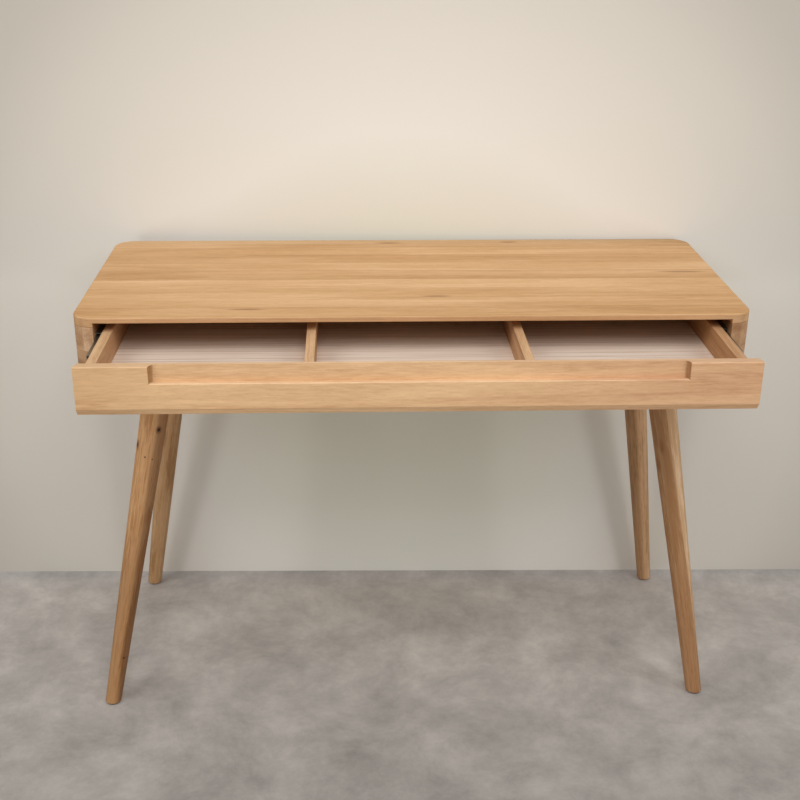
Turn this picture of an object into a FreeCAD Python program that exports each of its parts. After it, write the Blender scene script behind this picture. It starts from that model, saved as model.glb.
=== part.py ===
import FreeCAD
import Part
import math
import os
from FreeCAD import Vector

# Overall sizes of the desk, in millimetres: X runs along its width, the front is at -Y, Z is up
desk_width = 1100.0
desk_depth = 450.0
desk_height = 750.0

# Top panel, whose front edge is rebated underneath to a thin lip above the drawer
top_thickness = 16.0
lip_thickness = 8.5
corner_radius = 34.0
corner_limit_share = 0.98
top_edge_radius = 2.4
lip_back_gap = 4.0

# Case under the top: two thick side panels with a floor and a back between them
side_thickness = 35.0
case_height = 82.0
floor_thickness = 18.0
back_thickness = 16.0
case_edge_radius = 1.2
joint_edge_radius = 1.2

# Drawer front with its finger recess and its bevelled lower edge
front_height = 77.0
front_thickness = 16.0
front_reveal = 4.5
front_end_gap = 3.6
front_end_bevel = 4.0
front_back_gap = 2.0
front_edge_radius = 2.0
recess_end_inset = 110.5
recess_height = 27.0
recess_wall = 7.0
recess_corner_radius = 8.5
bevel_height = 9.5
bevel_depth = 4.0

# Drawer box, drawn open by the pull
drawer_pull = 179.0
drawer_side_thickness = 16.0
drawer_side_drop = 10.0
drawer_floor_gap = 3.0
drawer_back_thickness = 15.0
divider_thickness = 15.0
middle_compartment_width = 320.0
board_edge_radius = 1.2
bottom_thickness = 4.0
groove_depth = 5.0
groove_lip = 4.0
groove_clearance = 0.2
divider_names = ("left_divider", "right_divider")

# Ball-bearing slides: three nested steel channels on each side, with two ball cages between them
slide_width = 12.7
slide_height = 45.0
slide_top_drop = 14.0
slide_back_gap = 16.0
slide_gauge = 1.2
channel_gap = 1.2
outer_flange = 9.5
middle_flange = 7.9
inner_flange = 7.7
outer_lip = 1.3
ball_radius = 1.5
ball_clearance = 0.05
outer_ball_place = 5.4
inner_ball_place = 7.6
ball_count = 4
cage_gauge = 0.6
cage_arm = 5.6
cage_length_share = 0.3
cage_web_share = 0.5
middle_travel_share = 0.5
stop_gap = 0.3
stop_reach = 3.0
stop_height = 10.0

# Legs: turned and tapered, splayed from the floor panel to the ground
leg_top_radius = 26.0
leg_foot_radius = 14.0
leg_edge_radius = 2.0
glide_radius = 10.0
glide_height = 2.5
# Places of the legs' tops and feet as shares of the half width and half depth: each leg is set
# by hand and stands a little differently
leg_names = ("front_left_leg", "front_right_leg", "back_left_leg", "back_right_leg")
top_x_shares = (-0.770, 0.770, -0.766, 0.777)
top_y_shares = (-0.498, -0.498, 0.498, 0.498)
foot_x_shares = (-0.993, 0.964, -0.964, 0.957)
foot_y_shares = (-0.920, -0.917, 0.924, 0.868)

# Fasteners
fit_clearance = 0.1
hole_end_gap = 1.0
bolt_radius = 4.0
bolt_in_leg = 36.0
bolt_in_floor = 13.0
insert_radius = 6.5
insert_height = 14.0
case_dowel_radius = 4.0
top_dowel_in_top = 10.0
top_dowel_in_side = 20.0
floor_dowel_in_side = 18.0
floor_dowel_in_floor = 18.0
back_dowel_in_side = 16.0
back_dowel_in_back = 16.0
drawer_dowel_radius = 3.0
drawer_dowel_in_side = 12.0
drawer_dowel_in_front = 10.0
back_dowel_depth = 10.0
screw_radius = 1.7
screw_head_radius = 3.2
screw_length = 13.0
top_dowel_shares = (-0.36, -0.12, 0.12, 0.36)
floor_dowel_shares = (0.1, 0.5, 0.9)
back_dowel_shares = (0.25, 0.75)
side_dowel_shares = (0.24, 0.56)
slide_screw_shares = (0.08, 0.5, 0.92)
divider_dowel_share = 0.25

# Every cut runs past the surface that it opens by this much
overrun = 5.0

# Places that follow from the sizes above
half_width = desk_width / 2
half_depth = desk_depth / 2
plan_radius = min(corner_radius, side_thickness * corner_limit_share)
top_underside = desk_height - top_thickness
case_bottom = top_underside - case_height
floor_top = case_bottom + floor_thickness
opening_half = half_width - side_thickness
front_back = -half_depth + front_thickness
floor_front = front_back + front_back_gap
back_front = half_depth - back_thickness

slide_front = floor_front
slide_back = back_front - slide_back_gap
slide_length = slide_back - slide_front
drawer_half = opening_half - slide_width
drawer_inner_half = drawer_half - drawer_side_thickness
drawer_top = top_underside - drawer_side_drop
drawer_low = floor_top + drawer_floor_gap
drawer_side_height = drawer_top - drawer_low
drawer_back_front = slide_back - drawer_back_thickness
bottom_low = drawer_low + groove_lip
bottom_top = bottom_low + bottom_thickness
front_top = desk_height - lip_thickness - front_reveal

outer_half = slide_height / 2
ball_space = 2 * (ball_radius + ball_clearance)
middle_half = outer_half - slide_gauge - ball_space
inner_half = middle_half - slide_gauge - ball_space
slide_middle = drawer_top - slide_top_drop - inner_half
outer_ball_height = outer_half - slide_gauge - ball_space / 2
inner_ball_height = middle_half - slide_gauge - ball_space / 2
middle_wall_side = slide_gauge + channel_gap
middle_web_end = middle_wall_side + slide_gauge
cage_inset = (channel_gap - cage_gauge) * cage_web_share

middle_pull = drawer_pull * middle_travel_share
outer_cage_pull = middle_pull / 2
inner_cage_pull = (middle_pull + drawer_pull) / 2

# Reach before a joint, reach after it and radius, for each kind of dowel
top_dowel = (top_dowel_in_side, top_dowel_in_top, case_dowel_radius)
floor_dowel = (floor_dowel_in_side, floor_dowel_in_floor, case_dowel_radius)
back_dowel = (back_dowel_in_side, back_dowel_in_back, case_dowel_radius)
front_dowel = (drawer_dowel_in_front, drawer_dowel_in_side, drawer_dowel_radius)
box_dowel = (back_dowel_depth, drawer_dowel_in_side, drawer_dowel_radius)

x_axis = Vector(1, 0, 0)
y_axis = Vector(0, 1, 0)
z_axis = Vector(0, 0, 1)


def box(low, high):
    """Block between two opposite corners."""
    size = high - low
    return Part.makeBox(size.x, size.y, size.z, low)


def rod(place, direction, before, after, radius):
    """Round rod along a direction, reaching so far before and after a place."""
    unit = Vector(direction).normalize()
    return Part.makeCylinder(radius, before + after, place - unit * before, unit)


def rods(places, direction, before, after, radius):
    """One rod at each place."""
    return [rod(place, direction, before, after, radius) for place in places]


def holes(places, direction, before, after, radius):
    """Clearance holes for the rods at the same places."""
    return rods(places, direction, before + hole_end_gap, after + hole_end_gap, radius + fit_clearance)


def cut_all(shape, cutters):
    """Shape with every cutter taken out of it."""
    return shape.cut(Part.makeCompound(cutters))


def mirrored(shape):
    """The same shape on the other side of the desk's middle."""
    return shape.mirror(Vector(0, 0, 0), x_axis)


def moved_out(shape, pull):
    """Shape drawn towards the front by the pull."""
    return shape.translated(Vector(0, -pull, 0))


def edges_where(shape, test):
    """Edges whose ends both pass a test."""
    return [edge for edge in shape.Edges if all(test(vertex.Point) for vertex in edge.Vertexes)]


def near(value, target):
    """Whether two lengths are the same to within the clearance of a fit."""
    return abs(value - target) < fit_clearance


def eased_top(board):
    """Board with the long edges of its top rounded."""
    length = max(board.BoundBox.XLength, board.BoundBox.YLength)
    rim = edges_where(board, lambda point: near(point.z, board.BoundBox.ZMax))
    return board.makeFillet(board_edge_radius, [edge for edge in rim if near(edge.Length, length)])


def top_dowel_places():
    """Middles of the side panels' top edges where the top is dowelled on."""
    middle = half_width - side_thickness / 2
    return [
        Vector(side * middle, share * desk_depth, top_underside)
        for side in (-1, 1)
        for share in top_dowel_shares
    ]


def floor_dowel_places(side):
    """Dowels along X between a side panel and the floor."""
    length = back_front - floor_front
    height = case_bottom + floor_thickness / 2
    return [
        Vector(side * opening_half, floor_front + share * length, height) for share in floor_dowel_shares
    ]


def back_dowel_places(side):
    """Dowels along X between a side panel and the back."""
    middle = back_front + back_thickness / 2
    return [
        Vector(side * opening_half, middle, case_bottom + share * case_height)
        for share in back_dowel_shares
    ]


def leg_top(name):
    """Centre of a leg's top on the underside of the floor."""
    index = leg_names.index(name)
    return Vector(top_x_shares[index] * half_width, top_y_shares[index] * half_depth, case_bottom)


def leg_foot(name):
    """Centre of a leg's foot on top of its glide."""
    index = leg_names.index(name)
    return Vector(foot_x_shares[index] * half_width, foot_y_shares[index] * half_depth, glide_height)


def slide_screw_places():
    """Screws along the left slide, as points on the slide's middle height."""
    return [
        Vector(-opening_half, slide_front + share * slide_length, slide_middle)
        for share in slide_screw_shares
    ]


def make_top():
    """Top panel with round corners, eased edges and the rebate over the drawer."""
    panel = box(
        Vector(-half_width, -half_depth, top_underside),
        Vector(half_width, half_depth, desk_height),
    )
    upright = [edge for edge in panel.Edges if near(edge.Length, top_thickness)]
    panel = panel.makeFillet(plan_radius, upright)
    rim = edges_where(panel, lambda point: near(point.z, desk_height))
    panel = panel.makeFillet(top_edge_radius, rim)
    low_rim = edges_where(panel, lambda point: near(point.z, top_underside))
    panel = panel.makeFillet(joint_edge_radius, low_rim)
    rebate = box(
        Vector(-opening_half, -half_depth - overrun, top_underside - overrun),
        Vector(opening_half, front_back + lip_back_gap, desk_height - lip_thickness),
    )
    return cut_all(panel, [rebate] + holes(top_dowel_places(), z_axis, *top_dowel))


def make_left_side():
    """Left side panel, round at its two outer corners and eased along its outer edges."""
    panel = box(
        Vector(-half_width, -half_depth, case_bottom),
        Vector(-opening_half, half_depth, top_underside),
    )
    outer = [
        edge
        for edge in edges_where(panel, lambda point: near(point.x, -half_width))
        if near(edge.Length, case_height)
    ]
    panel = panel.makeFillet(plan_radius, outer)
    for height, radius in ((case_bottom, case_edge_radius), (top_underside, joint_edge_radius)):
        rim = [
            edge
            for edge in edges_where(panel, lambda point: near(point.z, height))
            if edge.CenterOfMass.x < -opening_half - fit_clearance
        ]
        panel = panel.makeFillet(radius, rim)
    cutters = holes(top_dowel_places(), z_axis, *top_dowel)
    cutters += holes(floor_dowel_places(-1), x_axis, *floor_dowel)
    cutters += holes(back_dowel_places(-1), x_axis, *back_dowel)
    return cut_all(panel, cutters + slide_screws(slide_gauge, -x_axis, fit_clearance))


def make_back():
    """Back panel between the side panels, eased along its outer edges."""
    panel = box(
        Vector(-opening_half, back_front, case_bottom),
        Vector(opening_half, half_depth, top_underside),
    )
    for height, radius in ((case_bottom, case_edge_radius), (top_underside, joint_edge_radius)):
        rim = edges_where(panel, lambda point: near(point.y, half_depth) and near(point.z, height))
        panel = panel.makeFillet(radius, rim)
    cutters = []
    for side in (-1, 1):
        cutters += holes(back_dowel_places(side), x_axis * -side, *back_dowel)
    return cut_all(panel, cutters)


def make_floor():
    """Floor panel between the side panels, eased in front, with the holes for the leg inserts."""
    panel = box(
        Vector(-opening_half, floor_front, case_bottom),
        Vector(opening_half, back_front, floor_top),
    )
    nose = edges_where(panel, lambda point: near(point.y, floor_front) and near(point.z, case_bottom))
    panel = panel.makeFillet(case_edge_radius, nose)
    cutters = holes([leg_top(name) for name in leg_names], z_axis, 0, insert_height, insert_radius)
    for side in (-1, 1):
        cutters += holes(floor_dowel_places(side), x_axis * -side, *floor_dowel)
    return cut_all(panel, cutters)


def make_case_dowels(place_list, dowel):
    """Dowels that reach into a side panel and into the panel beside it."""
    dowels = []
    for side in (-1, 1):
        dowels += rods(place_list(side), x_axis * -side, *dowel)
    return Part.makeCompound(dowels)


def make_leg(name):
    """Tapered round leg, cut level at its top and at its foot, with the hole for its bolt."""
    top = leg_top(name)
    foot = leg_foot(name)
    axis = top - foot
    slope = (leg_top_radius - leg_foot_radius) / axis.Length
    unit = Vector(axis).normalize()
    spare = leg_top_radius
    blank = Part.makeCone(
        leg_foot_radius - slope * spare,
        leg_top_radius + slope * spare,
        axis.Length + 2 * spare,
        foot - unit * spare,
        unit,
    )
    reach = Vector(desk_width, desk_depth, 0)
    level = box(Vector(0, 0, foot.z) - reach, Vector(0, 0, top.z) + reach)
    leg = blank.common(level)
    sole = edges_where(leg, lambda point: near(point.z, foot.z))
    leg = leg.makeFillet(leg_edge_radius, sole)
    return cut_all(leg, holes([top], z_axis, bolt_in_leg, 0, bolt_radius))


def make_bolts():
    """Hanger bolts, upright in the legs' tops and in the floor's inserts."""
    tops = [leg_top(name) for name in leg_names]
    return Part.makeCompound(rods(tops, z_axis, bolt_in_leg, bolt_in_floor, bolt_radius))


def make_inserts():
    """Threaded inserts in the floor, level with its underside."""
    tops = [leg_top(name) for name in leg_names]
    sleeves = Part.makeCompound(rods(tops, z_axis, 0, insert_height, insert_radius))
    bores = rods(tops, z_axis, overrun, insert_height + overrun, bolt_radius + fit_clearance)
    return cut_all(sleeves, bores)


def make_glides():
    """Felt glides under the feet."""
    feet = [leg_foot(name) for name in leg_names]
    return Part.makeCompound(rods(feet, z_axis, glide_height, 0, glide_radius))


def side_front_dowel_places(side):
    """Dowels along Y between a drawer side and the drawer front."""
    middle = side * (drawer_half - drawer_side_thickness / 2)
    return [
        Vector(middle, front_back, drawer_low + share * drawer_side_height) for share in side_dowel_shares
    ]


def side_back_dowel_places(side):
    """Dowels along X between a drawer side and the drawer back."""
    middle = drawer_back_front + drawer_back_thickness / 2
    return [
        Vector(side * drawer_inner_half, middle, bottom_top + share * (drawer_top - bottom_top))
        for share in back_dowel_shares
    ]


def divider_left(index):
    """Left face of a divider, one on each side of the middle compartment."""
    step = middle_compartment_width + divider_thickness
    return index * step - middle_compartment_width / 2 - divider_thickness


def divider_dowel_places(end):
    """Dowels along Y at one end of the dividers."""
    height = bottom_top + divider_dowel_share * (drawer_top - bottom_top)
    return [
        Vector(divider_left(index) + divider_thickness / 2, end, height)
        for index in range(len(divider_names))
    ]


def make_front():
    """Drawer front with bevelled ends, a finger recess and a bevelled lower edge."""
    half = opening_half - front_end_gap
    low = front_top - front_height
    plan = Part.makePolygon([
        Vector(-half, -half_depth, low),
        Vector(half, -half_depth, low),
        Vector(half - front_end_bevel, front_back, low),
        Vector(-half + front_end_bevel, front_back, low),
        Vector(-half, -half_depth, low),
    ])
    board = Part.Face(plan).extrude(Vector(0, 0, front_height))
    bevel = Part.makePolygon([
        Vector(-half_width, -half_depth, low),
        Vector(-half_width, -half_depth, low + bevel_height),
        Vector(-half_width, -half_depth + bevel_depth, low),
        Vector(-half_width, -half_depth, low),
    ])
    board = board.cut(Part.Face(bevel).extrude(Vector(desk_width, 0, 0)))
    ledge = front_top - recess_height
    recess_half = half - recess_end_inset
    recess_back = front_back - recess_wall
    recess = box(
        Vector(-recess_half, -half_depth - overrun, ledge),
        Vector(recess_half, recess_back, front_top + overrun),
    )
    corners = [
        edge
        for edge in edges_where(recess, lambda point: near(point.y, recess_back))
        if near(abs(edge.CenterOfMass.x), recess_half)
    ]
    board = board.cut(recess.makeFillet(recess_corner_radius, corners))
    arris = [
        edge
        for edge in edges_where(board, lambda point: near(point.y, -half_depth))
        if edge.CenterOfMass.z > low + bevel_height + fit_clearance
        and abs(edge.CenterOfMass.x) < half - fit_clearance
    ]
    board = board.makeFillet(front_edge_radius, arris)
    cutters = [bottom_space()]
    for side in (-1, 1):
        cutters += holes(side_front_dowel_places(side), y_axis, *front_dowel)
    cutters += holes(divider_dowel_places(front_back), y_axis, *front_dowel)
    return cut_all(board, cutters)


def bottom_space():
    """Room that the grooves leave for the drawer bottom."""
    reach = Vector(drawer_inner_half + groove_depth, groove_depth, 0)
    return box(
        Vector(0, front_back, bottom_low) - reach,
        Vector(0, drawer_back_front, bottom_top + groove_clearance) + reach,
    )


def make_drawer_bottom():
    """Thin bottom panel that lies in the grooves round the drawer."""
    gap = Vector(groove_clearance, groove_clearance, 0)
    reach = Vector(drawer_inner_half + groove_depth, groove_depth, 0) - gap
    return box(
        Vector(0, front_back, bottom_low) - reach,
        Vector(0, drawer_back_front, bottom_top) + reach,
    )


def make_left_drawer_side():
    """Left drawer side, from the front to the end of the drawer."""
    board = box(
        Vector(-drawer_half, front_back, drawer_low),
        Vector(-drawer_inner_half, slide_back, drawer_top),
    )
    cutters = [bottom_space()]
    cutters += holes(side_front_dowel_places(-1), y_axis, *front_dowel)
    cutters += holes(side_back_dowel_places(-1), x_axis, *box_dowel)
    cutters += slide_screws(slide_width - slide_gauge, x_axis, fit_clearance)
    return cut_all(eased_top(board), cutters)


def make_drawer_back():
    """Drawer back between the drawer sides."""
    board = box(
        Vector(-drawer_inner_half, drawer_back_front, drawer_low),
        Vector(drawer_inner_half, slide_back, drawer_top),
    )
    cutters = [bottom_space()]
    for side in (-1, 1):
        cutters += holes(side_back_dowel_places(side), x_axis * -side, *box_dowel)
    cutters += holes(divider_dowel_places(drawer_back_front), -y_axis, *box_dowel)
    return cut_all(eased_top(board), cutters)


def make_divider(index):
    """Divider that stands on the drawer bottom."""
    left = divider_left(index)
    board = box(
        Vector(left, front_back, bottom_top),
        Vector(left + divider_thickness, drawer_back_front, drawer_top),
    )
    cutters = holes(divider_dowel_places(front_back), y_axis, *front_dowel)
    cutters += holes(divider_dowel_places(drawer_back_front), -y_axis, *box_dowel)
    return cut_all(eased_top(board), cutters)


def make_drawer_dowels():
    """Dowels that hold the drawer's boards together."""
    dowels = rods(divider_dowel_places(front_back), y_axis, *front_dowel)
    dowels += rods(divider_dowel_places(drawer_back_front), -y_axis, *box_dowel)
    for side in (-1, 1):
        dowels += rods(side_front_dowel_places(side), y_axis, *front_dowel)
        dowels += rods(side_back_dowel_places(side), x_axis * -side, *box_dowel)
    return Part.makeCompound(dowels)


def slide_box(low_place, high_place, half_height, front, back):
    """Block in the left slide's section: places run inwards from the side panel."""
    return box(
        Vector(-opening_half + low_place, front, slide_middle - half_height),
        Vector(-opening_half + high_place, back, slide_middle + half_height),
    )


def channel(web_face, edge, half_height, gauge, front, back):
    """Channel with its web at one place and its flanges' edges at another."""
    low_place = min(web_face, edge)
    high_place = max(web_face, edge)
    body = slide_box(low_place, high_place, half_height, front, back)
    open_side = math.copysign(overrun, edge - web_face)
    inside = web_face + math.copysign(gauge, open_side)
    hollow_end = edge + open_side
    hollow = slide_box(
        min(inside, hollow_end),
        max(inside, hollow_end),
        half_height - gauge,
        front - overrun,
        back + overrun,
    )
    return body.cut(hollow)


def slide_screw(place, head_place, direction, growth):
    """Countersunk screw through a web, its head level with the web's inner face."""
    head = place + Vector(head_place, 0, 0)
    head_depth = slide_gauge
    cone = Part.makeCone(screw_head_radius + growth, screw_radius + growth, head_depth, head, direction)
    shank = Part.makeCylinder(
        screw_radius + growth, screw_length + growth - head_depth, head + direction * head_depth, direction
    )
    return cone.fuse(shank)


def slide_screws(head_place, direction, growth):
    """The screws of one channel of the left slide, or their holes when they are given some growth."""
    return [slide_screw(place, head_place, direction, growth) for place in slide_screw_places()]


def make_outer_channel():
    """Channel on the side panel, with lips that keep the balls in and a stop at the back."""
    body = channel(0, outer_flange, outer_half, slide_gauge, slide_front, slide_back)
    inside = outer_half - slide_gauge
    lips = slide_box(outer_flange - slide_gauge, outer_flange, inside, slide_front, slide_back)
    between = slide_box(
        0, outer_flange + overrun, inside - outer_lip, slide_front - overrun, slide_back + overrun
    )
    stop_back = slide_back + stop_gap + slide_gauge
    stop_front = slide_back + stop_gap
    stop = slide_box(slide_gauge, slide_gauge + stop_reach, stop_height / 2, stop_front, stop_back)
    tail = slide_box(0, slide_gauge, stop_height / 2, slide_back, stop_back)
    body = body.fuse([lips.cut(between), stop, tail]).removeSplitter()
    return cut_all(body, slide_screws(slide_gauge, -x_axis, fit_clearance))


def make_middle_channel():
    """Channel that runs between the outer and the inner channel."""
    edge = middle_wall_side + middle_flange
    return channel(middle_wall_side, edge, middle_half, slide_gauge, slide_front, slide_back)


def make_inner_channel():
    """Channel on the drawer side."""
    body = channel(slide_width, slide_width - inner_flange, inner_half, slide_gauge, slide_front, slide_back)
    return cut_all(body, slide_screws(slide_width - slide_gauge, x_axis, fit_clearance))


def ball_places(ball_place, ball_height):
    """Centres of the balls in one cage, in a row above and a row below."""
    cage_length = slide_length * cage_length_share
    first = (slide_front + slide_back - cage_length) / 2
    step = cage_length / ball_count
    return [
        Vector(-opening_half + ball_place, first + (index + 1 / 2) * step, slide_middle + row * ball_height)
        for row in (-1, 1)
        for index in range(ball_count)
    ]


def make_cage(web_face, ball_place, ball_height):
    """Thin cage that holds two rows of balls."""
    cage_length = slide_length * cage_length_share
    middle = (slide_front + slide_back) / 2
    body = channel(
        web_face,
        web_face + cage_arm,
        ball_height + cage_gauge / 2,
        cage_gauge,
        middle - cage_length / 2,
        middle + cage_length / 2,
    )
    places = ball_places(ball_place, ball_height)
    return cut_all(body, rods(places, z_axis, ball_radius, ball_radius, ball_radius + fit_clearance))


def make_balls(ball_place, ball_height):
    """Balls of one cage."""
    return Part.makeCompound([
        Part.makeSphere(ball_radius, place) for place in ball_places(ball_place, ball_height)
    ])


def make_slide_screws(head_place, direction):
    """Screws of one slide channel on both sides of the desk."""
    screws = slide_screws(head_place, direction, 0)
    return Part.makeCompound(screws + [mirrored(screw) for screw in screws])


def case_nodes():
    """Pieces of the case and its legs."""
    left_side = make_left_side()
    outer = make_outer_channel()
    nodes = {
        "top_panel": make_top(),
        "left_side_panel": left_side,
        "right_side_panel": mirrored(left_side),
        "back_panel": make_back(),
        "floor_panel": make_floor(),
        "top_dowels": Part.makeCompound(rods(top_dowel_places(), z_axis, *top_dowel)),
        "floor_dowels": make_case_dowels(floor_dowel_places, floor_dowel),
        "back_dowels": make_case_dowels(back_dowel_places, back_dowel),
        "hanger_bolts": make_bolts(),
        "leg_inserts": make_inserts(),
        "foot_glides": make_glides(),
        "left_outer_channel": outer,
        "right_outer_channel": mirrored(outer),
        "case_slide_screws": make_slide_screws(slide_gauge, -x_axis),
    }
    for name in leg_names:
        nodes[name] = make_leg(name)
    return nodes


def drawer_nodes():
    """Pieces of the drawer, still closed."""
    left_side = make_left_drawer_side()
    inner = make_inner_channel()
    nodes = {
        "drawer_front": make_front(),
        "drawer_left_side": left_side,
        "drawer_right_side": mirrored(left_side),
        "drawer_back": make_drawer_back(),
        "drawer_bottom": make_drawer_bottom(),
        "drawer_dowels": make_drawer_dowels(),
        "left_inner_channel": inner,
        "right_inner_channel": mirrored(inner),
        "drawer_slide_screws": make_slide_screws(slide_width - slide_gauge, x_axis),
    }
    for index, name in enumerate(divider_names):
        nodes[name] = make_divider(index)
    return nodes


def running_nodes():
    """Pieces of the left slide that run between its outer and inner channels, each with its pull."""
    outer_web = slide_gauge + cage_inset
    inner_web = middle_web_end + cage_inset
    return {
        "middle_channel": (make_middle_channel(), middle_pull),
        "outer_cage": (make_cage(outer_web, outer_ball_place, outer_ball_height), outer_cage_pull),
        "outer_balls": (make_balls(outer_ball_place, outer_ball_height), outer_cage_pull),
        "inner_cage": (make_cage(inner_web, inner_ball_place, inner_ball_height), inner_cage_pull),
        "inner_balls": (make_balls(inner_ball_place, inner_ball_height), inner_cage_pull),
    }


def main():
    """Build every piece with the drawer drawn out, and write one file for each."""
    os.makedirs("parts", exist_ok=True)
    nodes = case_nodes()
    for name, shape in drawer_nodes().items():
        nodes[name] = moved_out(shape, drawer_pull)
    for name, (shape, pull) in running_nodes().items():
        nodes["left_" + name] = moved_out(shape, pull)
        nodes["right_" + name] = mirrored(moved_out(shape, pull))
    for name, shape in nodes.items():
        shape.exportStep("parts/" + name + ".step")


main()
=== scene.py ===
import math

import bpy
import numpy as np
from mathutils import Matrix, Vector

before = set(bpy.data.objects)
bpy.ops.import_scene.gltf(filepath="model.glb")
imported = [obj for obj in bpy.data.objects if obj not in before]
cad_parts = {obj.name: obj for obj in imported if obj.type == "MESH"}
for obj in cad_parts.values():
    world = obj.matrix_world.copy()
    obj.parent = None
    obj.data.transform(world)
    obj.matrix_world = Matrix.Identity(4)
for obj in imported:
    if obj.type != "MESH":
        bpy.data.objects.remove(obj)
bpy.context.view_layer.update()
scene = bpy.context.scene
per_metre = 1000.0
x_axis, y_axis, z_axis = (1, 0, 0), (0, 1, 0), (0, 0, 1)


def linear(code):
    """An sRGB hex colour as linear RGBA: v / 12.92 up to 0.04045, ((v + 0.055) / 1.055) ^ 2.4 above."""
    shade = np.array([int(code[i:i + 2], 16) for i in (0, 2, 4)]) / 255
    light = np.where(shade <= 0.04045, shade / 12.92, ((shade + 0.055) / 1.055) ** 2.4)
    return (*light.tolist(), 1.0)


def grey(level):
    """A neutral ramp colour of one linear level."""
    return (level, level, level, 1.0)


def warm(level):
    """A share of wood's lightness, as wood darkens: green falls faster than red, and blue faster still."""
    return (level, level ** 1.45, level ** 2.1, 1.0)


def add(tree, kind, inputs=None, out=None, stops=None, **settings):
    """Adds one node with its settings and ramp stops, sets or links its inputs, gives one output."""
    node = tree.nodes.new("ShaderNode" + kind)
    for name, value in settings.items():
        setattr(node, name, value)
    for socket, value in (inputs or {}).items():
        if isinstance(value, bpy.types.NodeSocket):
            tree.links.new(value, node.inputs[socket])
        else:
            node.inputs[socket].default_value = value
    if stops:
        elements = node.color_ramp.elements
        while len(elements) < len(stops):
            elements.new(0.5)
        while len(elements) > len(stops):
            elements.remove(elements[-1])
        for element, (place, colour) in zip(elements, stops):
            element.position = place
            element.color = colour
    if out is not None:
        return node.outputs[out]
    return next(socket for socket in node.outputs if socket.enabled)


def blank(name):
    """A new material: its tree, its shader and the place of each point in the desk, in millimetres."""
    material = bpy.data.materials.new(name)
    material.use_nodes = True
    tree = material.node_tree
    shader = tree.nodes["Principled BSDF"]
    place = add(tree, "VectorMath", {0: add(tree, "TexCoord", out="Object"), "Scale": per_metre},
                operation="SCALE")
    return material, tree, shader, place


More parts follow.
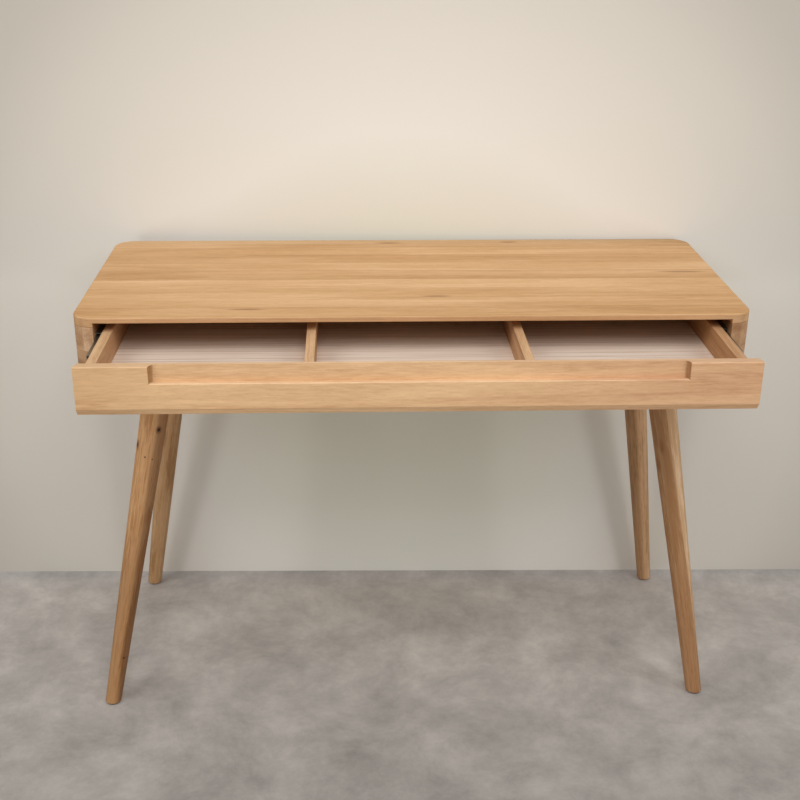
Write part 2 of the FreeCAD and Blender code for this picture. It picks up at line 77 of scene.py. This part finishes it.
def oak(name, along, across, palette, stave_width, stave_start, seed, tones=None, origin=(0, 0, 0),
        layers=None, glued=False, chances=(0.88, 1.06), cloud_size=(420, 40), clouds=0.9, streaks=0.3,
        fibres=0.4, figure=0.07, ring_width=3.4, ends="E4E2E0", end_turn=(0.3, 0.9), edges=warm(1.0),
        under=None, bands=(), marks=(), knots=()):
    """Solid oak under matt oil, glued up from staves: low contrast, soft clouds, fine dark pores.

    along and across are the directions of the grain and of the staves' width, measured from the
    origin in millimetres. palette is the pale, the middle and the dark colour. Each stave is cut
    from its own place beside a pith. Its rings are circles of ring_width round that pith, bent by
    a slow noise stretched along the grain, so they show as flames in the middle of a stave, as
    lines at its edges and as arcs on its ends. tones are the staves' own shares of lightness, or
    chances the span that they are drawn from. clouds, streaks, fibres and figure are the weights
    of those patterns. ends is what the oil leaves on end grain, and in the drawer front's recess
    ends it is also painted shade. edges tints the staves' narrow sides, under is a painted shade
    on the underside, and the rounded arris between two faces is painted paler as a painted highlight.
    end_turn is how far a face turns to the grain's end as it starts and stops to darken.
    The pores are drawn twice as coarse as real ones, which are too fine for the picture.
    """
    material, tree, shader, place = blank(name)
    along = Vector(along).normalized()
    across = Vector(across)
    across = (across - along * across.dot(along)).normalized()
    axes = (along, across, along.cross(across))
    place = add(tree, "VectorMath", {0: place, 1: tuple(origin)}, operation="SUBTRACT")
    lengthwise, sideways, depth = (
        add(tree, "VectorMath", {0: place, 1: tuple(axis)}, operation="DOT_PRODUCT") for axis in axes)

    # The stave that a point lies in and its chance values, with a step in number from layer to layer
    layer_step = 7.0
    count = add(tree, "MapRange", {"Value": sideways, "From Min": stave_start,
                                   "From Max": stave_start + stave_width}, clamp=False)
    stave = add(tree, "Math", {0: count}, operation="FLOOR")
    number = add(tree, "Math", {0: stave, 1: seed}, operation="ADD")
    if layers:
        layer_start, layer_width = layers
        count = add(tree, "MapRange", {"Value": depth, "From Min": layer_start,
                                       "From Max": layer_start + layer_width}, clamp=False)
        layer = add(tree, "Math", {0: count}, operation="FLOOR")
        number = add(tree, "Math", {0: layer, 1: layer_step, 2: number}, operation="MULTIPLY_ADD")
    chance = add(tree, "TexWhiteNoise", {"W": number}, out="Color", noise_dimensions="1D")

    # The point's place in the log, which chance sets along, across and deep beside the pith
    pith_span = (16000.0, stave_width * 1.6, 70.0)
    pith_start = (-8000.0, -stave_width * 0.8, 24.0)
    pith = add(tree, "VectorMath", {0: chance, 1: pith_span, 2: pith_start}, operation="MULTIPLY_ADD")
    middle_line = add(tree, "Math", {0: stave, 1: stave_width, 2: stave_start + stave_width / 2},
                      operation="MULTIPLY_ADD")
    from_middle = add(tree, "Math", {0: sideways, 1: middle_line}, operation="SUBTRACT")
    point = add(tree, "CombineXYZ", {0: lengthwise, 1: from_middle, 2: depth})
    point = add(tree, "VectorMath", {0: point, 1: pith}, operation="ADD")

    # Clouds, streaks, fibres and pores: length and width in millimetres, detail and bend
    noises = ((*cloud_size, 2.0, 0.8), (110, 5, 3.0, 0.4), (26, 2.4, 3.0, 0.0), (10, 1.0, 2.0, 0.0))
    cloud, streak, fibre, vessel = (
        add(tree, "TexNoise", {
            "Vector": add(tree, "VectorMath", {0: point, 1: (1 / length, 1 / width, 1 / width)},
                          operation="MULTIPLY"),
            "Scale": 1.0, "Detail": detail, "Roughness": 0.55, "Distortion": bend})
        for length, width, detail, bend in noises)
    pores = add(tree, "ValToRGB", {0: vessel}, stops=[(0.58, grey(0.0)), (0.72, grey(1.0))])

    # Rings, which hardly change along the grain; a wave texture of scale 1 repeats at wave_length
    wave_length = 2 * math.pi / 20
    ring_stretch = (0.045, 1.0, 1.0)
    slow = add(tree, "VectorMath", {0: point, 1: ring_stretch}, operation="MULTIPLY")
    rings = add(tree, "TexWave", {
        "Vector": slow, "Scale": wave_length / ring_width, "Distortion": 11.0, "Detail": 3.0,
        "Detail Scale": 0.32, "Detail Roughness": 0.55,
    }, out="Fac", wave_type="RINGS", rings_direction="X", wave_profile="SAW")

    # The weighted patterns as one shade, from pale through middle to dark, and the pores over it
    pore_tint, pore_strength, shade_reach = "8F6238", 0.2, 0.2
    pale, middle, dark = palette
    shade, centre = 0.0, 0.0
    for pattern, weight in ((cloud, clouds), (streak, streaks), (rings, figure), (fibre, fibres)):
        shade = add(tree, "Math", {0: pattern, 1: weight, 2: shade}, operation="MULTIPLY_ADD")
        centre += weight / 2
    colour = add(tree, "ValToRGB", {0: shade}, stops=[
        (centre - shade_reach, linear(pale)), (centre, linear(middle)), (centre + shade_reach, linear(dark))])
    colour = add(tree, "Mix", {0: add(tree, "Math", {0: pores, 1: pore_strength}, operation="MULTIPLY"),
                               6: colour, 7: linear(pore_tint)}, out=2, data_type="RGBA")

    # Each stave's own tone
    if tones:
        share = add(tree, "Math", {0: stave, 1: 1 / len(tones), 2: 0.5 / len(tones)},
                    operation="MULTIPLY_ADD")
        stops = [(i / len(tones), warm(tone)) for i, tone in enumerate(tones)]
        tone = add(tree, "ValToRGB", {0: share}, stops=stops)
        tone.node.color_ramp.interpolation = "CONSTANT"
    else:
        tone = add(tree, "ValToRGB", {0: chance}, stops=[
            (0.1, warm(chances[0])), (0.9, warm(chances[1]))])
    shades = [(1.0, tone)]

    # Darker bands along the grain (0) or across it (1): none at the start, full at the end. Across a leg they
    # darken its inner side, partly heartwood and partly painted shade; along the grain they darken a leg
    # towards its foot and the drawer front towards its ends
    for axis, start, end, tint in bands:
        reach = abs(end - start)
        spread = add(tree, "Math", {0: cloud, 1: reach, 2: (lengthwise, sideways)[axis]},
                     operation="MULTIPLY_ADD")
        mask = add(tree, "MapRange", {"Value": spread, "From Min": start + reach / 2,
                                      "From Max": end + reach / 2}, interpolation_type="SMOOTHSTEP")
        shades.append((mask, linear(tint)))

    # Thin glue lines between the staves: full within 0.2 mm of the joint, gone at 0.8 mm
    if glued:
        glue_tint, glue_full, glue_end = "E4DAD0", 0.2, 0.8
        within = add(tree, "Math", {0: sideways, 1: stave_start}, operation="SUBTRACT")
        far = add(tree, "Math", {0: within, 1: stave_width / 2}, operation="PINGPONG")
        mask = add(tree, "MapRange", {"Value": far, "From Min": glue_end, "From Max": glue_full})
        shades.append((mask, linear(glue_tint)))

    # What the oil leaves on end grain, which in the drawer front's recess ends is also painted shade; tints
    # on the narrow sides; a painted highlight on the rounded arrises; and a painted shade below
    plain, painted_highlight, under_turn = warm(1.0), warm(1.12), (0.5, 0.9)
    facing = add(tree, "NewGeometry", out="Normal")
    endwise, edgewise = (
        add(tree, "Math", {0: add(tree, "VectorMath", {0: facing, 1: tuple(axis)},
                                  operation="DOT_PRODUCT")}, operation="ABSOLUTE")
        for axis in (along, across))
    mask = add(tree, "MapRange", {"Value": endwise, "From Min": end_turn[0], "From Max": end_turn[1]},
               interpolation_type="SMOOTHSTEP")
    shades.append((mask, linear(ends)))
    # The rounded arrises, half turned between two faces, are painted paler: a painted highlight
    shades.append((1.0, add(tree, "ValToRGB", {0: edgewise}, stops=[
        (0.45, plain), (0.65, painted_highlight), (0.85, edges)])))
    # The underside tint darkens downward faces: a painted shade
    if under:
        down = add(tree, "VectorMath", {0: facing, 1: (0, 0, -1)}, operation="DOT_PRODUCT")
        mask = add(tree, "MapRange", {"Value": down, "From Min": under_turn[0], "From Max": under_turn[1]})
        shades.append((mask, linear(under)))
    for mask, tint in shades:
        colour = add(tree, "Mix", {0: mask, 6: colour, 7: tint}, out=2, data_type="RGBA",
                     blend_type="MULTIPLY")

    # Dark marks, and knots with a darker heart: each has half lengths along the grain and across it,
    # and each rim the share of them where it is full, the share where it ends, a tint and a strength
    mark_rims = ((0.4, 1.7, "8A5A30", 0.6),)
    knot_rims = ((0.9, 2.6, "7E5530", 0.75), (0.5, 1.2, "2E1D12", 0.95))
    ragged = 0.9
    for spots, rims in ((marks, mark_rims), (knots, knot_rims)):
        for heart, length, width in spots:
            aside = add(tree, "VectorMath", {0: place, 1: heart}, operation="SUBTRACT")
            spans = [
                add(tree, "VectorMath", {0: aside, 1: tuple(axis / size)}, operation="DOT_PRODUCT")
                for axis, size in zip(axes, (length, width, width * 2))]
            far = add(tree, "VectorMath", {0: add(tree, "CombineXYZ", dict(enumerate(spans)))},
                      operation="LENGTH")
            far = add(tree, "Math", {0: streak, 1: ragged, 2: far}, operation="MULTIPLY_ADD")
            for inner, outer, tint, strength in rims:
                mask = add(tree, "MapRange", {"Value": far, "From Min": outer + ragged / 2,
                                              "From Max": inner + ragged / 2, "To Max": strength},
                           interpolation_type="SMOOTHSTEP")
                colour = add(tree, "Mix", {0: mask, 6: colour, 7: linear(tint)}, out=2,
                             data_type="RGBA")

    tree.links.new(colour, shader.inputs["Base Color"])
    rough = add(tree, "MapRange", {"Value": fibre, "To Min": 0.50, "To Max": 0.66})
    tree.links.new(rough, shader.inputs["Roughness"])
    shader.inputs["IOR"].default_value = 1.45
    shader.inputs["Specular IOR Level"].default_value = 0.35
    relief = add(tree, "Math", {0: pores, 1: -0.8, 2: fibre}, operation="MULTIPLY_ADD")
    bump = add(tree, "Bump", {"Height": relief, "Strength": 0.25, "Distance": 0.0002})
    tree.links.new(bump, shader.inputs["Normal"])
    return material


def veneer(name):
    """Pale veneered sheet under matt lacquer: straight fine lines of 3 to 8 mm along the desk."""
    material, tree, shader, place = blank(name)
    line_size, fibre_size = (420, 5.5, 40), (60, 1.4, 1.4)
    lines, fibres = (
        add(tree, "VectorMath", {0: place, 1: tuple(1 / side for side in size)}, operation="MULTIPLY")
        for size in (line_size, fibre_size))
    line = add(tree, "TexNoise", {"Vector": lines, "Scale": 1.0, "Detail": 3.0, "Roughness": 0.6})
    fibre = add(tree, "TexNoise", {"Vector": fibres, "Scale": 1.0, "Detail": 2.0})
    shade = add(tree, "Math", {0: fibre, 1: 0.3, 2: line}, operation="MULTIPLY_ADD")
    colour = add(tree, "ValToRGB", {0: shade}, stops=[
        (0.45, linear("FDEFE0")), (0.65, linear("F5E2D0")), (0.85, linear("D8C0AB"))])
    tree.links.new(colour, shader.inputs["Base Color"])
    shader.inputs["Roughness"].default_value = 0.55
    bump = add(tree, "Bump", {"Height": fibre, "Strength": 0.15, "Distance": 0.0002})
    tree.links.new(bump, shader.inputs["Normal"])
    return material


def steel(name, tint, low, high, grain):
    """Rolled or ground steel: a metal whose roughness runs between low and high in fine draw lines.

    grain is the number of lines in a millimetre along each axis.
    """
    material, tree, shader, place = blank(name)
    drawn = add(tree, "VectorMath", {0: place, 1: grain}, operation="MULTIPLY")
    line = add(tree, "TexNoise", {"Vector": drawn, "Scale": 1.0, "Detail": 3.0})
    rough = add(tree, "MapRange", {"Value": line, "From Min": 0.3, "From Max": 0.7, "To Min": low,
                                   "To Max": high})
    tree.links.new(rough, shader.inputs["Roughness"])
    shade = add(tree, "MapRange", {"Value": line, "To Min": 1.0, "To Max": 0.6})
    colour = add(tree, "Mix", {0: 1.0, 6: linear(tint), 7: shade}, out=2, data_type="RGBA",
                 blend_type="MULTIPLY")
    tree.links.new(colour, shader.inputs["Base Color"])
    shader.inputs["Metallic"].default_value = 1.0
    return material


def felt(name):
    """Pressed wool felt: dark, dull and fuzzy, with fibres of about 1 mm."""
    material, tree, shader, place = blank(name)
    fuzz = add(tree, "TexNoise", {"Vector": place, "Scale": 0.9, "Detail": 4.0, "Roughness": 0.7})
    colour = add(tree, "ValToRGB", {0: fuzz}, stops=[(0.35, linear("2E2822")), (0.7, linear("5A5048"))])
    tree.links.new(colour, shader.inputs["Base Color"])
    shader.inputs["Roughness"].default_value = 0.95
    shader.inputs["Sheen Weight"].default_value = 0.3
    bump = add(tree, "Bump", {"Height": fuzz, "Strength": 0.6, "Distance": 0.0004})
    tree.links.new(bump, shader.inputs["Normal"])
    return material


def paint(node, material):
    """Gives a CAD node's object one material in every slot."""
    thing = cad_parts[node]
    if not thing.material_slots:
        thing.data.materials.append(material)
    for slot in thing.material_slots:
        slot.material = material


def leg_line(leg):
    """The middles of a leg's foot and top, in millimetres: the means of its lowest and highest points."""
    foot_band, top_band = 4.0, 0.1
    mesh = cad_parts[leg].data
    points = np.empty(len(mesh.vertices) * 3)
    mesh.vertices.foreach_get("co", points)
    points = points.reshape(-1, 3) * per_metre
    heights = points[:, 2]
    foot = points[heights < heights.min() + foot_band].mean(0)
    top = points[heights > heights.max() - top_band].mean(0)
    return Vector(foot), Vector(top)


# Oiled oak of each board: its grain, staves and tones in millimetres and shares, marks where they lie
pale_oak = ("E9BF8F", "DBAD7A", "C99964")
pink_oak = ("DDB58C", "CFA57D", "B98D66")
light_oak = ("F1C797", "E3B889", "D1A174")
beech_wood = ("E2C19B", "D6B188", "C49C72")

top_oak = oak(
    "oiled_oak_top", x_axis, y_axis, pale_oak, stave_width=50.0, stave_start=-227.0, seed=3.0,
    tones=(0.96, 1.0, 1.02, 1.09, 0.96, 1.04, 0.93, 1.04, 1.04), glued=True, cloud_size=(520, 80),
    clouds=0.65, streaks=0.06, fibres=0.36, figure=0.13, ends="F3F2F0", edges=(0.85, 0.84, 0.89, 1.0),
    # The top's underside is painted darker and greyer, a painted shade that also lets less warm light bounce
    # into the drawer
    under="CCC6BE",
    marks=[((-31, 202, 750), 22, 4), ((200, 205, 750), 14, 4), ((-272, -186, 750), 24, 3.4),
           ((490, 8, 750), 36, 4), ((40, -123, 750), 20, 3)])
front_oak = oak(
    "oiled_oak_front", x_axis, z_axis, light_oak, stave_width=80.0, stave_start=659.0, seed=21.0,
    # The ends tint, reaching far round by end_turn, darkens the end grain and also paints shade into the
    # rounded recess ends
    tones=(1.02,), clouds=0.5, streaks=0.15, fibres=0.5, figure=0.1, ends="C2B4A2", end_turn=(0.15, 0.65),
    # The edges tint takes orange out of the tops and the recess ledge, painted to offset warm bounced light;
    # the underside tint is a painted shade on the downward faces
    edges=(0.97, 1.02, 1.12, 1.0), under="A89A8C",
    bands=[(0, -330, -540, "F2EFEA"), (0, -150, 480, "F5EFF2")])
side_oak = oak(
    "oiled_oak_sides", y_axis, z_axis, pink_oak, stave_width=41.0, stave_start=652.0, seed=40.0,
    layers=(-551.0, 19.0), glued=True, chances=(0.74, 1.1), ends="F8F9FC",
    marks=[((520, -205, 726), 30, 7), ((-543, -205, 668), 30, 8)])
back_oak = oak(
    "oiled_oak_back", x_axis, z_axis, pale_oak, stave_width=41.0, stave_start=652.0, seed=60.0, glued=True)
floor_oak = oak(
    "oiled_oak_floor", x_axis, y_axis, pale_oak, stave_width=51.5, stave_start=-207.0, seed=80.0, glued=True)
# The drawer's sides and dividers: the low tone paints their faces darker as shade, and the edges tint paints
# their tops paler as lit
drawer_oak = oak(
    "oiled_oak_drawer", y_axis, z_axis, pink_oak, stave_width=54.0, stave_start=672.0, seed=100.0,
    tones=(0.9,), edges=(1.22, 1.33, 1.42, 1.0))
# A darker copy for the right side, whose inner face is painted in shade by its low tone, with its top painted
# back to lit lightness by the edges tint
shaded_drawer_right_oak = oak(
    "oiled_oak_drawer_right_painted_shade", y_axis, z_axis, pink_oak, stave_width=54.0, stave_start=672.0, seed=104.0,
    tones=(0.72,), edges=(1.42, 1.62, 1.95, 1.0))
drawer_back_oak = oak(
    "oiled_oak_drawer_back", x_axis, z_axis, pink_oak, stave_width=54.0, stave_start=672.0, seed=120.0,
    tones=(0.9,))
beech = oak(
    "beech_dowel", z_axis, x_axis, beech_wood, stave_width=30.0, stave_start=0.0, seed=160.0,
    ring_width=2.2, clouds=0.4, streaks=0.3)
pale_sheet = veneer("lacquered_veneer")
# The slides' zinc is darker than plated zinc: a painted shade that deepens the shaded gap beside the drawer
zinc = steel("zinc_plated_strip", "A4A9A1", 0.28, 0.5, (1 / 1.5, 1 / 60, 1 / 1.5))
chrome = steel("chrome_steel_ball", "D8DADA", 0.08, 0.16, (1.0, 1.0, 1.0))
screw_steel = steel("zinc_plated_screw", "B9BCB4", 0.3, 0.45, (1.0, 1.0, 1.0))
glide_felt = felt("wool_felt")

# Each leg is turned from its own billet of its own colours, with marks and knots where they lie on
# the desk, and a grain that runs sideways by run from foot to top
# Across the front legs and the back right leg a band darkens the inner side, partly heartwood and partly
# painted shade; along the front legs a band darkens them towards the foot
leg_wood = {
    "front_left_leg": {
        "seed": 98.0,
        "palette": ("EBB986", "DCA976", "C28D59"),
        "bands": [(1, 4, 13, "C8C0B8"), (0, 520, 180, "C6BEB4")],
        "marks": [((-462, -168, 361), 14, 4), ((-481, -181, 275), 22, 4)],
        "knots": [((-435, -151, 521), 4, 2.6), ((-474, -147, 492), 5, 2), ((-461, -161, 474), 1.2, 1),
                  ((-449, -160, 469), 1, 0.8), ((-520, -207, 94), 2.4, 2)],
        "run": 0,
    },
    "front_right_leg": {
        "seed": 105.0,
        "palette": ("EBC8A2", "E2BC94", "CCA377"),
        "bands": [(1, 17, 13, "D0BFAE"), (0, 380, 160, "E8E0D8")],
        "marks": [((439, -156, 481), 12, 3), ((437, -150, 443), 12, 3)],
        "knots": [],
        "run": -17,
    },
    "back_left_leg": {
        "seed": 91.0,
        "palette": ("C9A074", "BD9367", "A57B4F"),
        "bands": [],
        "marks": [],
        "knots": [],
        "run": 0,
    },
    "back_right_leg": {
        "seed": 98.0,
        "palette": ("D6AC82", "C99F75", "B0885E"),
        "bands": [(1, 2, -10, "DCD4CC")],
        "marks": [],
        "knots": [],
        "run": 0,
    },
}


def leg_oak(leg):
    """The oak of one leg, whose grain follows the leg's own line."""
    foot, top = leg_line(leg)
    wood = leg_wood[leg]
    marks, knots = ([(Vector(heart) - foot, *size) for heart, *size in wood[kind]]
                    for kind in ("marks", "knots"))
    return oak("oiled_oak_" + leg, top - foot + Vector((wood["run"], 0, 0)), x_axis, wood["palette"],
               stave_width=60.0, stave_start=-30.0, seed=wood["seed"], origin=foot, tones=(1.0,),
               streaks=0.32, fibres=0.46, figure=0.09, bands=wood["bands"], marks=marks, knots=knots)


finishes = {
    "top_panel": top_oak, "drawer_front": front_oak, "back_panel": back_oak,
    "floor_panel": floor_oak, "drawer_right_side": shaded_drawer_right_oak, "drawer_back": drawer_back_oak,
    "drawer_bottom": pale_sheet, "foot_glides": glide_felt,
}
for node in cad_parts:
    if node in finishes:
        paint(node, finishes[node])
    elif node.endswith("_side_panel"):
        paint(node, side_oak)
    elif node.endswith("_leg"):
        paint(node, leg_oak(node))
    elif node.endswith(("_side", "_divider")):
        paint(node, drawer_oak)
    elif node.endswith("_dowels"):
        paint(node, beech)
    elif node.endswith("_balls"):
        paint(node, chrome)
    elif node.endswith(("_channel", "_cage")):
        paint(node, zinc)
    else:
        paint(node, screw_steel)


def sheet(name, corners, material):
    """A flat four-cornered backdrop."""
    mesh = bpy.data.meshes.new(name)
    mesh.from_pydata(corners, [], [(0, 1, 2, 3)])
    mesh.materials.append(material)
    thing = bpy.data.objects.new(name, mesh)
    scene.collection.objects.link(thing)
    return thing


def concrete():
    """Trowelled concrete: dull pale grey, with clouds of 180 mm that hold finer and finer ones, and painted
    light: paler towards the wall and darker away from it."""
    material, tree, shader, place = blank("trowelled_concrete")
    cloud_width, floor_light_front, floor_light_back = 180, -650.0, 200.0
    cloud = add(tree, "TexNoise", {"Vector": place, "Scale": 1 / cloud_width, "Detail": 9.0,
                                   "Roughness": 0.74, "Distortion": 0.15})
    colour = add(tree, "ValToRGB", {0: cloud}, stops=[
        (0.3, linear("95918C")), (0.5, linear("B0ABA6")), (0.7, linear("C9C4BE"))])
    # Painted light: the floor's colour runs from 0.79 at the front to 1.29 towards the wall
    along_y = add(tree, "SeparateXYZ", {0: place}, out="Y")
    painted_floor_light = add(tree, "MapRange", {"Value": along_y, "From Min": floor_light_front, "From Max": floor_light_back,
                                   "To Min": 0.79, "To Max": 1.29})
    colour = add(tree, "Mix", {0: 1.0, 6: colour, 7: painted_floor_light}, out=2, data_type="RGBA",
                 blend_type="MULTIPLY")
    tree.links.new(colour, shader.inputs["Base Color"])
    shader.inputs["Roughness"].default_value = 0.6
    shader.inputs["Specular IOR Level"].default_value = 0.2
    return material


def plaster():
    """Matt wall paint with a painted pool of light, palest behind and under the desk and darker further out,
    seen only from the desk's side, and no bar to light that leaves the desk's back a hand's breadth away."""
    material, tree, shader, place = blank("matt_wall_paint")
    # The palest point of the painted pool of light and its fade in millimetres, a hand's breadth in metres as
    # rays are
    palest, fade, hand = (0, 228, 450), 1500, 0.08
    away = add(tree, "VectorMath", {0: place, 1: palest}, operation="SUBTRACT")
    away = add(tree, "VectorMath", {0: away, 1: (1 / fade,) * 3}, operation="MULTIPLY")
    # The stops paint the light on the wall: palest near the centre, the nearest stop less blue as a painted
    # greenish shade under the desk, and darker further out
    colour = add(tree, "ValToRGB", {0: add(tree, "VectorMath", {0: away}, operation="LENGTH")}, stops=[
        (0.18, linear("EEEEDF")), (0.34, linear("F0EDE5")), (0.46, linear("E6E0D5")),
        (0.55, linear("DCD6CA")), (0.65, linear("CBC4B9")), (0.81, linear("BAB2A6"))])
    tree.links.new(colour, shader.inputs["Base Color"])
    shader.inputs["Roughness"].default_value = 0.9
    shader.inputs["Specular IOR Level"].default_value = 0.1
    behind = add(tree, "NewGeometry", out="Backfacing")
    near = add(tree, "Math", {0: add(tree, "LightPath", out="Ray Length"), 1: hand}, operation="LESS_THAN")
    hidden = add(tree, "Math", {0: behind, 1: near}, operation="MAXIMUM")
    clear = add(tree, "BsdfTransparent")
    one_sided = add(tree, "MixShader", {0: hidden, 1: shader.outputs["BSDF"], 2: clear})
    tree.links.new(one_sided, tree.nodes["Material Output"].inputs["Surface"])
    return material


# The floor and the wall, which stands a little askew to the desk, in metres
wall_line, wall_slope, reach = 0.2395, -0.0225, 9.0
sheet("floor", [(-reach, -reach, 0), (reach, -reach, 0), (reach, reach, 0), (-reach, reach, 0)],
      concrete())
wall = sheet("wall", [(x, wall_line + wall_slope * x, z) for x, z in (
    (-reach, 0), (reach, 0), (reach, reach), (-reach, reach))], plaster())
wall.visible_shadow = False


def lamp(name, place, target, size, power):
    """A square soft white lamp at one place, turned to its target."""
    light = bpy.data.lights.new(name, "AREA")
    light.shape, light.size, light.energy = "SQUARE", size, power
    thing = bpy.data.objects.new(name, light)
    thing.location = place
    thing.rotation_euler = (Vector(target) - Vector(place)).to_track_quat("-Z", "Y").to_euler()
    scene.collection.objects.link(thing)


# Each lamp's name, place, target and side in metres, and its power in watts
lamp("left_softbox", (-2.1, -1.5, 2.7), (0, -0.1, 0.6), 1.6, 25.0)
lamp("right_softbox", (2.1, -1.5, 2.7), (0, -0.1, 0.6), 1.6, 21.0)
lamp("front_softbox", (0, -1.8, 2.45), (0, -0.3, 0.7), 1.2, 21.3)
lamp("fill_softbox", (0, -2.4, 1.95), (0, -0.3, 0.7), 0.6, 3.4)
lamp("left_low_softbox", (-2.2, -2.0, 0.35), (0, 0, 0.4), 0.6, 8.7)
lamp("right_low_softbox", (2.2, -2.0, 0.35), (0, 0, 0.4), 0.6, 8.7)
lamp("back_softbox", (0, 2.2, 2.6), (0, -0.1, 0.7), 2.0, 6.0)

world = bpy.data.worlds.new("studio")
scene.world = world
world.use_nodes = True
sky = world.node_tree.nodes["Background"]
sky.inputs["Color"].default_value = linear("FFFFFF")
sky.inputs["Strength"].default_value = 0.25

# The photograph's viewpoint: place in metres, turn right, tilt down and roll in radians, and the
# lens's focal length and the picture's width in pixels
eye = Vector((-0.10303, -2.08112, 1.39788))
turn, tilt, roll = 0.042411, 0.403648, 0.007593
focal_length, picture_width = 1225.83, 800
ahead = Vector((math.sin(turn) * math.cos(tilt), math.cos(turn) * math.cos(tilt), -math.sin(tilt)))
right = Vector((math.cos(turn), -math.sin(turn), 0))
above = right.cross(ahead)
rolled_right = right * math.cos(roll) + above * math.sin(roll)
rolled_above = above * math.cos(roll) - right * math.sin(roll)
view = bpy.data.cameras.new("photo_view")
view.sensor_width = 36.0
view.lens = focal_length / picture_width * view.sensor_width
camera = bpy.data.objects.new("photo_view", view)
camera.matrix_world = Matrix.Translation(eye) @ Matrix(
    (rolled_right, rolled_above, -ahead)).transposed().to_4x4()
scene.collection.objects.link(camera)
scene.camera = camera
scene.view_settings.view_transform = "Standard"
